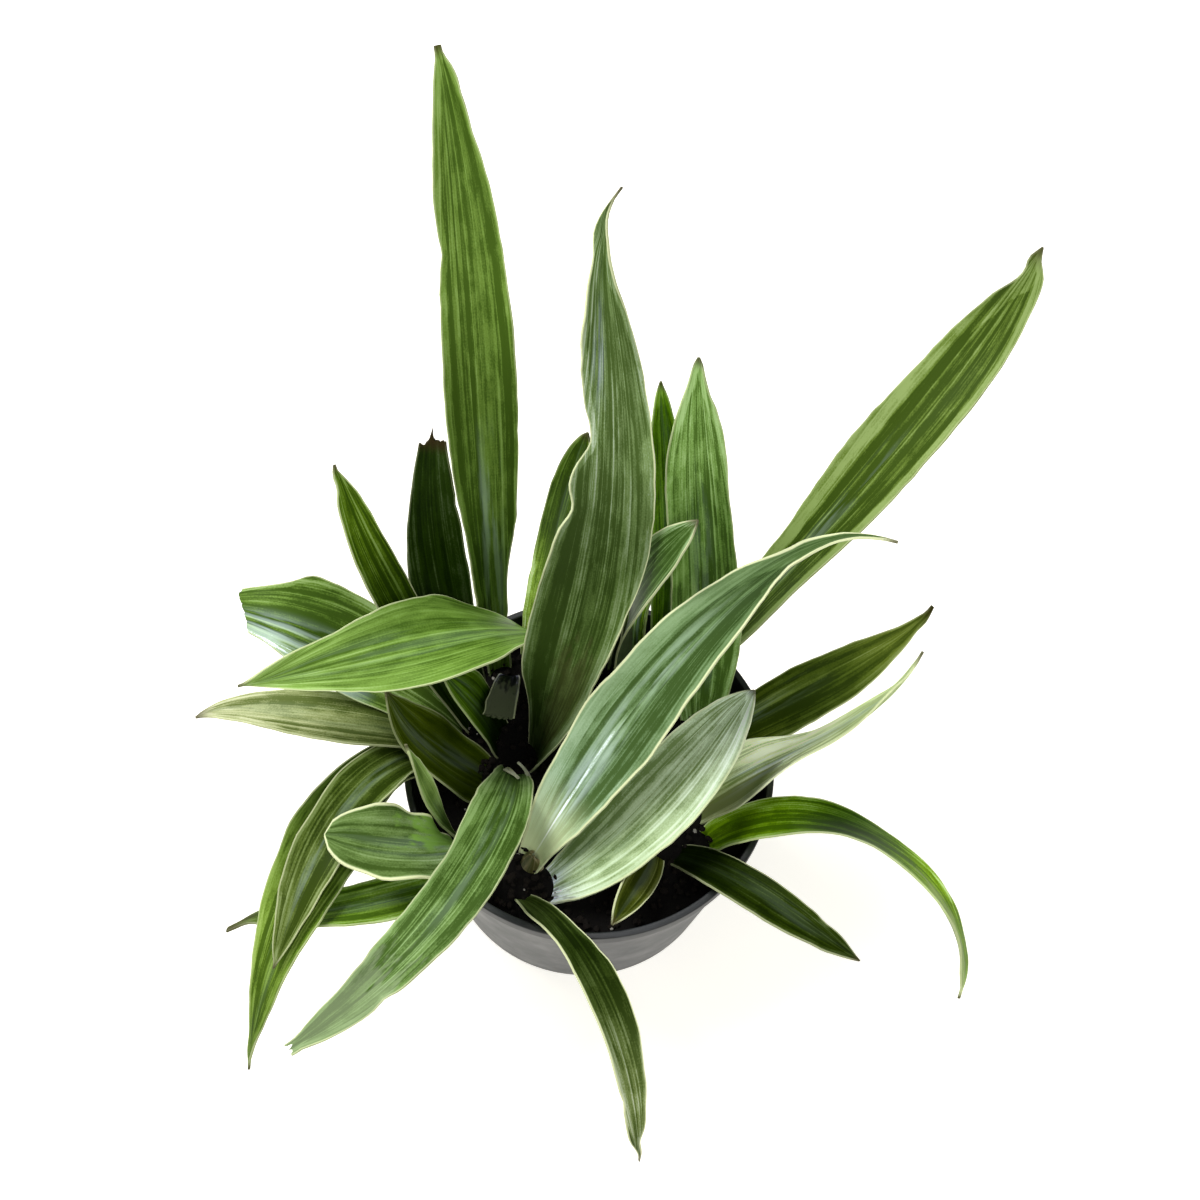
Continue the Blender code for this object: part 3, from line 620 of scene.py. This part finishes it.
         right=((.3, .8), (.4, 1.1), (.6, 1.1), (.7, .8), (.8, .4), (.9, .5)),
         contrast=.7, bands=(1, 2), cream=.4),
    Leaf("small_front", "4A5416", root=(30, -26), length=63, width=16, heading=(-89, -108, -120),
         shade=((0, .8), (.5, 1.5), (.7, 1.2), (.85, .6), (1, .7)),
         lean=(36, 55, 95), roll=(5, -35, -5), hook=4, widest=.51, point=.8, contrast=.8, cream=.8),
    # The shoot at the back right
    Leaf("tall_right", "526824", root=(30, 43), length=267, width=35, heading=(21, 42, 55),
         shade=((0, .5), (.25, 1.2), (.35, .85), (.5, 1.1), (.65, 1.35), (1, 1.15)),
         stripes=((.72, 9, .18, .2, .92), (.4, 3.5, -.25, .2, .95), (.18, .7, .2, .3, .9),
                  (0, 3, -.2, .2, .95), (-.18, .7, .28, .2, .9), (-.35, 2.5, -.2, .2, .9),
                  (-.52, .8, .25, .2, .75), (-.7, 2.5, -.2, .2, .95)),
         lean=(25, 46, 60), roll=(-20, -15, 15), hook=2, widest=.66, point=.84, wave=(1.2, 3, .1),
         left=((.4, -1.3), (.5, .4), (.6, -.3), (.7, -2.3), (.8, -2.6), (.9, -3.4), (.96, -3.7), (.975, -1)),
         right=((.8, .7), (.9, 1.9), (.95, 2.8), (.965, 2.3), (.98, .2)),
         contrast=.9, bands=(7, 3), cream=.3, wax_and_sheen=(.2, .6, .15, .3, 0), dry_tip=8),
    Leaf("slim_behind", "608C08", root=(29, 59), length=167, width=19, heading=(84, 106, 113),
         shade=((0, .3), (.2, .8), (.35, 1.3), (.65, 1.5), (.75, 1), (1, 1.4)),
         lean=(6, 19, 20), roll=(-5, 20, -15), hook=-6, widest=.52, point=.75, cream=.3),
    Leaf("short_behind_right", "48642C", root=(15, 45), length=148, width=30, heading=(-3, 4, 28),
         shade=((0, .1), (.3, .02), (.42, .005), (.5, .01), (.6, .4), (.67, 1.3), (.85, 1.1), (1, 2.2)),
         lean=(0, 2, 43), roll=(-10, -10, 10), hook=3, widest=.56, point=.75, cream=.8,
         wax_and_sheen=NO_WAX_OR_SHEEN),
    Leaf("curled_behind_right", "466C04", root=(17, 60), length=125, width=14, heading=(65, 30, 3),
         shade=((0, .8), (.35, 2.5), (.5, 8), (.6, 5)),
         lean=(2, 6, 60), roll=(0, 0, -5), point=.8, cream=.7),
    Leaf("rolled_spear", "8DA070", root=(6, 54), length=58, width=11, heading=(48, 57, 59),
         shade=((0, .5), (.45, 1), (.7, .2), (1, .15)),
         lean=(13, 8, 21), roll=(15, 20, 0), widest=.45, point=1, cup=1.3, base_cup=1.3, contrast=.5,
         cream=.4),
]


def through_three(values, s):
    """The smooth curve through a value at the foot, the middle and the tip."""
    foot, middle, tip = values
    return foot + (4 * middle - 3 * foot - tip) * s + 2 * (foot - 2 * middle + tip) * s * s


def joined(points, s):
    """The smooth curve through (place, value) points, which is zero at the blade's two ends."""
    if not points:
        return 0 * s
    places, values = np.array([(0, 0), *points, (1, 0)], float).T
    slopes = np.gradient(values, places)
    i = np.clip(np.searchsorted(places, s, side="right") - 1, 0, len(places) - 2)
    gap = places[i + 1] - places[i]
    t = np.clip((s - places[i]) / gap, 0, 1)
    return ((1 + 2 * t) * (1 - t) ** 2 * values[i] + t * (1 - t) ** 2 * gap * slopes[i]
            + t ** 2 * (3 - 2 * t) * values[i + 1] - t ** 2 * (1 - t) * gap * slopes[i + 1])


def angles(leaf, s):
    hook = leaf.hook * np.clip((s - HOOK_FROM) / (1 - HOOK_FROM), 0, None) ** 2
    return np.radians(through_three(leaf.heading, s) + hook), np.radians(through_three(leaf.lean, s))


def direction(leaf, s):
    """The unit vectors along the midrib at each s."""
    heading, lean = angles(leaf, s)
    sin_lean = np.sin(lean)
    return np.stack([sin_lean * np.cos(heading), sin_lean * np.sin(heading), np.cos(lean)], -1)


def midrib(leaf, s):
    """The midrib's points: the sum of short steps, each along its own direction."""
    marks = np.linspace(0, 1, PATH_STEPS + 1)
    steps = direction(leaf, (marks[1:] + marks[:-1]) / 2) * leaf.length * MM / PATH_STEPS
    points = np.vstack([np.zeros(3), np.cumsum(steps, 0)])
    points += [leaf.root[0] * MM, leaf.root[1] * MM, LEAF_FOOT_Z]
    return np.stack([np.interp(s, marks, points[:, axis]) for axis in range(3)], -1)


def blade_axes(leaf, s):
    """The unit vectors across the blade, towards its left margin, and out of its upper face."""
    heading, _ = angles(leaf, s)
    level = np.stack([-np.sin(heading), np.cos(heading), 0 * heading], -1)
    upright = np.cross(direction(leaf, s), level)
    roll = np.radians(through_three(leaf.roll, s) + joined(leaf.twist, s))[..., None]
    across = np.cos(roll) * level + np.sin(roll) * upright
    out = np.cos(roll) * upright - np.sin(roll) * level
    return across, out


def nicks(leaf, side, s):
    """The small unevenness of a margin, in bumps that stand evenly along it."""
    draw = np.random.default_rng(sum(leaf.name.encode()) + side)
    marks = np.arange(0, leaf.length + NICK_SPACING, NICK_SPACING)
    return np.interp(s * leaf.length, marks, draw.normal(0, NICK_DEPTH, len(marks)))


def plain_half(leaf, s):
    """Half the width of the blade's plain outline, in millimetres."""
    toward_foot = np.clip(1 - s / leaf.widest, 0, 1)
    toward_tip = np.clip((s - leaf.widest) / (1 - leaf.widest), 0, 1)
    lower = 1 - (1 - leaf.foot) * toward_foot ** 1.7
    upper = (1 - toward_tip ** 2) ** leaf.point
    return np.maximum(leaf.width * np.where(s < leaf.widest, lower, upper), leaf.tip) / 2


def half_widths(leaf, s):
    """How far the left and the right margin stand from the midrib."""
    half = plain_half(leaf, s)
    left = half + joined(leaf.left, s) + nicks(leaf, 0, s)
    right = half + joined(leaf.right, s) + nicks(leaf, 1, s)
    spare = np.maximum(leaf.tip - left - right, 0) / 2
    return (left + spare) * MM, (right + spare) * MM


def blade_points(leaf, u, s):
    """Points of the blade's middle surface, u from -1 to 1 across it and s along it."""
    across, out = blade_axes(leaf, s)
    left, right = half_widths(leaf, s)
    half = (left + right) / 2
    low = np.clip(1 - s / CUPPED_TO, 0, 1) ** 2
    fold = 2 * (leaf.cup + (leaf.base_cup - leaf.cup) * low)
    sideways = (left - right) / 2 + half * np.sin(fold * u) / fold
    rise = half * (1 - np.cos(fold * u)) / fold
    height, count, start = leaf.wave
    turn = math.tau * (count * s + start + np.where(u > 0, .25, 0))
    free = np.clip(s / STILL_FOOT, 0, 1) * np.clip((1 - s) / STILL_TIP, 0, 1)
    rise = rise + height * MM * u ** 2 * np.sin(turn) * free
    return midrib(leaf, s) + sideways[..., None] * across + rise[..., None] * out


def blade_thickness(u, s):
    middle = FOOT_THICKNESS + (BLADE_THICKNESS - FOOT_THICKNESS) * np.clip(s / THICK_TO, 0, 1)
    return MARGIN_THICKNESS + (middle - MARGIN_THICKNESS) * (1 - u ** 2)


def torn_edge(leaf, u, s):
    """The ragged end of a torn blade: its last centimetre is drawn out or in."""
    places, lengths = np.array(leaf.torn, float).T
    jag = np.interp(u, places, lengths) + TEAR_DEPTH * (np.sin(17 * u + 1) + .6 * np.sin(41 * u)) / 2
    last = np.clip((s - leaf.torn_at) * leaf.length / TORN_REACH + 1, 0, 1)
    return s + jag * last / leaf.length


def map_to_surface(mesh, leaf, u, s):
    """Two UV maps: where a point is among the veins, and how far it is from the two margins.

    Places along the blade count hundreds of millimetres, and those from a margin count tens.
    """
    left, right = half_widths(leaf, s)
    width = left + right
    off_midrib = (left - right + u * width) / 2
    vein = off_midrib / (np.maximum(plain_half(leaf, s), 2) * MM)
    blade = np.stack([(vein + 1) / 2, s * leaf.length / ALONG_UNIT], -1)
    in_units = width / (MARGIN_UNIT * MM)
    margins = np.stack([(1 - u) / 2 * in_units, (1 + u) / 2 * in_units], -1)
    corners = np.zeros(len(mesh.loops), int)
    mesh.loops.foreach_get("vertex_index", corners)
    for name, values in (("blade", blade), ("margins", margins)):
        layer = mesh.uv_layers.new(name=name)
        layer.data.foreach_set("uv", values[corners].ravel())


def grow_blade(leaf, materials):
    """A flat grid bent into the blade, thickened by Solidify, its lower face another material."""
    stations = round(leaf.length * leaf.torn_at * MM / STATION_LENGTH)
    bpy.ops.mesh.primitive_grid_add(x_subdivisions=STRIPS_ACROSS, y_subdivisions=stations, size=2)
    blade = bpy.context.object
    mesh = blade.data
    while mesh.uv_layers:
        mesh.uv_layers.remove(mesh.uv_layers[0])
    flat = np.array([vertex.co for vertex in mesh.vertices])
    u = -flat[:, 0]
    s = (flat[:, 1] + 1) / 2 * leaf.torn_at
    if leaf.torn:
        s = torn_edge(leaf, u, s)
    map_to_surface(mesh, leaf, u, s)
    mesh.vertices.foreach_set("co", blade_points(leaf, u, s).ravel())
    group = blade.vertex_groups.new(name="thickness")
    span = FOOT_THICKNESS - MARGIN_THICKNESS
    for i, weight in enumerate((blade_thickness(u, s) - MARGIN_THICKNESS) / span):
        group.add([i], float(weight), "REPLACE")
    thicken = blade.modifiers.new("Thicken", "SOLIDIFY")
    thicken.thickness = FOOT_THICKNESS
    thicken.offset = 0
    thicken.vertex_group = group.name
    thicken.thickness_vertex_group = MARGIN_THICKNESS / FOOT_THICKNESS
    thicken.material_offset = 1
    for material in materials:
        mesh.materials.append(material)
    bpy.ops.object.modifier_apply(modifier=thicken.name)
    bpy.ops.object.shade_smooth_by_angle(angle=math.radians(50))
    return blade


PALE_STRIPE = "B4C49A"
# The palest stripes of strongly waxed leaves turn silvery white: partly real wax, partly painted sheen
SILVER_SHEEN_STRIPE = "D6E6DA"
# The silvery wax's colour, which also paints the sheen where light glints on a blade
WAX_AND_SHEEN = "B4CBB8"
BLEACHED = "EEFAC4"
UNDERSIDE_CAST = "93A878"
CREAM = "DDE3B4"
DRY_BROWN = "362A16"
SMOOTH = {"interpolation_type": "SMOOTHSTEP"}


def level_colour(level):
    """What a leaf's colour is multiplied by at a level: darker skin is deeper in hue, too."""
    return [level ** power for power in (1.17, 1, 1.6)] + [1]


def at_level(hex_colour, level, paleness=0):
    """A leaf's colour made darker or lighter, or mixed with a pale one, as linear values."""
    return [a * b * (1 - paleness) + c * paleness
            for a, b, c in zip(linear(hex_colour), level_colour(level), linear(PALE_STRIPE))]


@dataclass
class Skin:
    """What the layers of a leaf's skin share: their nodes, and where a point is on the blade."""
    tree: bpy.types.NodeTree
    leaf: Leaf
    seed: int
    contrast: float
    where: bpy.types.Node
    across: bpy.types.NodeSocket
    along: bpy.types.NodeSocket
    to_left: bpy.types.NodeSocket
    to_right: bpy.types.NodeSocket


def streaks(skin, across, along, layer, detail=1):
    """Noise drawn out along the blade: its streaks are across mm wide and along mm long."""
    place = add_node(skin.tree, "Mapping", {
        "Vector": skin.where, "Location": (0, 0, skin.seed + layer),
        "Scale": (skin.leaf.width / across, ALONG_UNIT / along, 1)})
    return add_node(skin.tree, "TexNoise", {"Vector": place, "Scale": 1, "Detail": detail})


def edge(value, place, soft, before=0, after=1):
    """A smooth step, from one level to another, as a value passes a place."""
    return value, place - soft, place + soft, before, after


def patch(tree, *steps):
    """Where a patch shows: its smooth steps multiplied, each a value, its range and two levels."""
    shown = 1
    for step in steps:
        level = add_node(tree, "MapRange", step, **SMOOTH)
        shown = add_node(tree, "Math", (shown, level), operation="MULTIPLY")
    return shown


def off_line(tree, value, line):
    """How far a value is from a line, on either side of it."""
    apart = add_node(tree, "Math", (value, line), operation="SUBTRACT")
    return add_node(tree, "Math", (apart,), operation="ABSOLUTE")


def coated(tree, colour, coats):
    """A colour with others laid over it in turn, each (how much of it shows, its hex colour)."""
    for cover, coat in coats:
        colour = add_node(tree, "Mix",
                          {"Factor": cover, "A": colour, "B": linear(coat)}, data_type="RGBA")
    return colour


def set_stops(ramp, stops):
    """Gives a colour ramp its (place, colour) stops."""
    elements = ramp.color_ramp.elements
    while len(elements) < len(stops):
        elements.new(.5)
    for element, (place, colour) in zip(elements, stops):
        element.position = place
        element.color = colour


def tones(skin, broad, fine):
    """How pale the skin is, from 0 to 1, by its stripes and the band inside each margin."""
    tree, leaf = skin.tree, skin.leaf
    # Broad soft stripes, narrow ones, short hatches between the veins, and blotches that run
    # together into faint bands across
    layers = (
        (broad, None, .8),
        (streaks(skin, 3, 200, 1), (.42, .58), .26),
        (streaks(skin, .9, 22, 2, 2), None, .5),
        (streaks(skin, 5, 13, 4, 5), (.43, .57), .16),
        (streaks(skin, .6, .8, 5, 0), None, .3),
        (fine, (.56, .63), .26),
    )
    tone = .42
    for noise, edges, gain in layers:
        if edges:
            noise = add_node(tree, "MapRange", (noise, *edges, 0, 1), **SMOOTH)
        off = add_node(tree, "Math", (noise, .5), operation="SUBTRACT")
        tone = add_node(tree, "Math", (off, gain * skin.contrast, tone), operation="MULTIPLY_ADD")
    # Its plainest stripes: their edges wander a little, and their ends fade over 2 cm
    wander = add_node(tree, "Math", (streaks(skin, 2, 25, 7), .5), operation="SUBTRACT")
    wandering = add_node(tree, "Math", (wander, 1.5 / leaf.width, skin.across),
                         operation="MULTIPLY_ADD")
    for middle, width, paleness, begin, stop in leaf.stripes:
        half = width / 2 / leaf.width
        soft = min(half, .3 / leaf.width)
        steps = [edge(off_line(tree, wandering, (middle + 1) / 2), half, soft, paleness, 0)]
        for place, before, after in ((begin, 0, 1), (stop, 1, 0)):
            if 0 < place < 1:
                end = place * leaf.length / ALONG_UNIT
                steps.append(edge(skin.along, end, .1, before, after))
        tone = add_node(tree, "Math", (tone, patch(tree, *steps)), operation="ADD")
    # A paler band inside each margin, its inner edge a little uneven
    uneven = add_node(tree, "Math", (streaks(skin, 4, 60, 6), .4, -.2), operation="MULTIPLY_ADD")
    for to_margin, band in zip((skin.to_left, skin.to_right), leaf.bands):
        reach = add_node(tree, "Math", (to_margin, uneven), operation="ADD")
        inner = edge(reach, band / MARGIN_UNIT, .03, .3 * skin.contrast, 0)
        paler = add_node(tree, "MapRange", inner, **SMOOTH)
        tone = add_node(tree, "Math", (tone, paler), operation="ADD")
    return tone


def greens(skin, tone):
    """The leaf's own greens, from its darkest through its usual one to its palest."""
    leaf = skin.leaf
    level = add_node(skin.tree, "Math", (tone, .85, -.025), operation="MULTIPLY_ADD")
    ramp = add_node(skin.tree, "ValToRGB", {"Fac": level})
    palest = at_level(leaf.green, 1.6, .13)
    # Where its wax is thick, its palest stripes are silvery white: partly real wax, partly painted sheen
    silver = linear(SILVER_SHEEN_STRIPE) if leaf.wax_and_sheen[2] > .4 else palest
    set_stops(ramp, ((.15, at_level(leaf.green, .4)), (.4, at_level(leaf.green, 1)), (.7, palest),
                     (.9, palest), (1, silver)))
    return ramp


def wax_and_sheen_coat(skin):
    """A silvery wax with a painted sheen on it, in long patches, mostly near the midrib."""
    start, stop, strength, spread, middle = skin.leaf.wax_and_sheen
    first = start * skin.leaf.length / ALONG_UNIT
    last = stop * skin.leaf.length / ALONG_UNIT
    shown = patch(skin.tree,
                  (streaks(skin, 3.5, 45, 13, 5), .43, .6, 0, 1),
                  edge(skin.along, first, .15, 0, strength),
                  edge(skin.along, last, .25, 1, 0),
                  (off_line(skin.tree, skin.across, (middle + 1) / 2), spread * .15, spread / 2, 1, 0))
    return shown, WAX_AND_SHEEN


def shaded(skin, colour, underside):
    """Painted light and shade: darker and lighter stretches along the blade, as light and shade fall on it.
    """
    tree, leaf = skin.tree, skin.leaf
    share = add_node(tree, "Math", (skin.along, ALONG_UNIT / leaf.length), operation="MULTIPLY")
    light = add_node(tree, "ValToRGB", {"Fac": share})
    light.color_ramp.interpolation = "B_SPLINE"
    # The underside shows this painted light and shade only half as strongly: the square root of each level
    shade = [(place, level ** .5 if underside else level) for place, level in leaf.shade]
    brightest = max(level for _, level in shade)
    set_stops(light, [(place, level_colour(level / brightest)) for place, level in shade])
    for factor in (light, level_colour(brightest)[:3]):
        colour = add_node(tree, "VectorMath", (colour, factor), operation="MULTIPLY")
    return colour


def stain_coats(skin):
    """Patches where it is limp, dry or freshly green, with ragged edges."""
    tree = skin.tree
    ragged = add_node(tree, "Math", (streaks(skin, 3, 9, 17, 3), .7, -.35), operation="MULTIPLY_ADD")
    sideways = add_node(tree, "Math", (skin.across, 2, -1), operation="MULTIPLY_ADD")
    from_right = add_node(tree, "Math", (sideways, ragged), operation="ADD")
    from_foot = add_node(tree, "Math", (skin.along, ragged), operation="ADD")
    for stain, first, last, near_right, near_left, cover in skin.leaf.stains:
        shown = patch(tree,
                      edge(from_foot, first / ALONG_UNIT, .08, 0, cover),
                      edge(from_foot, last / ALONG_UNIT, .08, 1, 0),
                      edge(from_right, near_left, .25, 1, 0),
                      edge(from_right, near_right, .25))
        yield shown, stain


def margin_coat(skin):
    """The cream line along both margins."""
    nearest = add_node(skin.tree, "Math", (skin.to_left, skin.to_right), operation="MINIMUM")
    line = skin.leaf.cream_width / MARGIN_UNIT
    shown = add_node(skin.tree, "MapRange",
                     (nearest, line * .6, line * 1.3, skin.leaf.cream, 0), **SMOOTH)
    return shown, CREAM


def leaf_skin(leaf, seed, underside):
    """A leaf's skin: waxy, striped lengthwise, faintly banded across, with cream margins, a painted sheen
    and painted light and shade.
    """
    name = f"{'underside' if underside else 'upper_skin'}_{leaf.name}"
    material, tree, shader = new_material(name, .45, .03)
    where = add_node(tree, "UVMap", uv_map="blade")
    place = add_node(tree, "SeparateXYZ", {"Vector": where})
    margins = add_node(tree, "UVMap", uv_map="margins")
    to_margins = add_node(tree, "SeparateXYZ", {"Vector": margins})
    skin = Skin(tree, leaf, seed, leaf.contrast * (.85 if underside else 1), where,
                place.outputs["X"], place.outputs["Y"],
                to_margins.outputs["X"], to_margins.outputs["Y"])
    broad = streaks(skin, 9, 500, 0, 1.5)
    fine = streaks(skin, 1, 160, 3)
    colour = coated(tree, greens(skin, tones(skin, broad, fine)), [wax_and_sheen_coat(skin)])
    colour = shaded(skin, colour, underside)
    if leaf.pale_foot:
        foot = add_node(tree, "MapRange", (skin.along, .1, .65, .9 * leaf.pale_foot, 0), **SMOOTH)
        colour = coated(tree, colour, [(foot, BLEACHED)])
    if underside:
        colour = coated(tree, colour, [(.22, UNDERSIDE_CAST)])
    colour = coated(tree, colour, [*stain_coats(skin), margin_coat(skin)])
    if leaf.dry_tip:
        end = leaf.length * leaf.torn_at / ALONG_UNIT
        uneven = add_node(tree, "Math", (fine, .06, skin.along), operation="MULTIPLY_ADD")
        dry = add_node(tree, "MapRange",
                       (uneven, end - leaf.dry_tip / ALONG_UNIT, end + .03, 0, .85), **SMOOTH)
        colour = coated(tree, colour, [(dry, DRY_BROWN)])
    tree.links.new(colour.outputs["Result"], shader.inputs["Base Color"])
    gloss = add_node(tree, "MapRange", (broad, .3, .7, .38, .52), **SMOOTH)
    tree.links.new(gloss.outputs["Result"], shader.inputs["Roughness"])
    relief = add_node(tree, "Bump", {"Height": fine, "Strength": .4, "Distance": .2 * MM})
    tree.links.new(relief.outputs["Normal"], shader.inputs["Normal"])
    return material


# What is left of older leaves stands among the shoots: papery, brown or bleached, and torn off
# short. A dried scrap looks the same on both faces, so it has one skin.
REMAINS = [
    Leaf("remnant_front", "6E6A44", root=(-28, -47), length=23, width=20, heading=(214, 214, 214),
         lean=(-18, -24, -30), torn_at=.9, torn=((-1, 1), (-.3, -1), (.4, 1), (1, -1)),
         shade=((0, 1.4), (1, 1.4)), foot=.8, cup=1, base_cup=1, cream=.3, dry_tip=0),
    Leaf("remnant_middle", "878B70", root=(-38, 1), length=33, width=3, heading=(-70, -60, -50),
         lean=(5, 25, 60), shade=((0, 1), (1, 1)), cup=.8, base_cup=.8, cream=.3, dry_tip=0),
    Leaf("remnant_hook", "9A9E84", root=(-24, -8), length=29, width=1.8, heading=(150, 130, 170),
         lean=(5, 12, 50), shade=((0, 1), (1, 1)), cup=.6, base_cup=.6, cream=.3, dry_tip=0),
]
# Each skin has a run of seeds to itself, for the layers of its noise
SEEDS_EACH = 20
REMAINS_SEED = 900
for number, leaf in enumerate(REMAINS):
    papery = leaf_skin(leaf, REMAINS_SEED + number * SEEDS_EACH, False)
    settle(grow_blade(leaf, [papery, papery]), leaf.name)


# Each leaf's blade takes the place of its solid. It has an upper skin and a duller underside.
for number, leaf in enumerate(LEAVES):
    skins = [leaf_skin(leaf, number * SEEDS_EACH, underside) for underside in (False, True)]
    blade = grow_blade(leaf, skins)
    settle(blade, "blade_" + leaf.name, ["leaf_" + leaf.name])
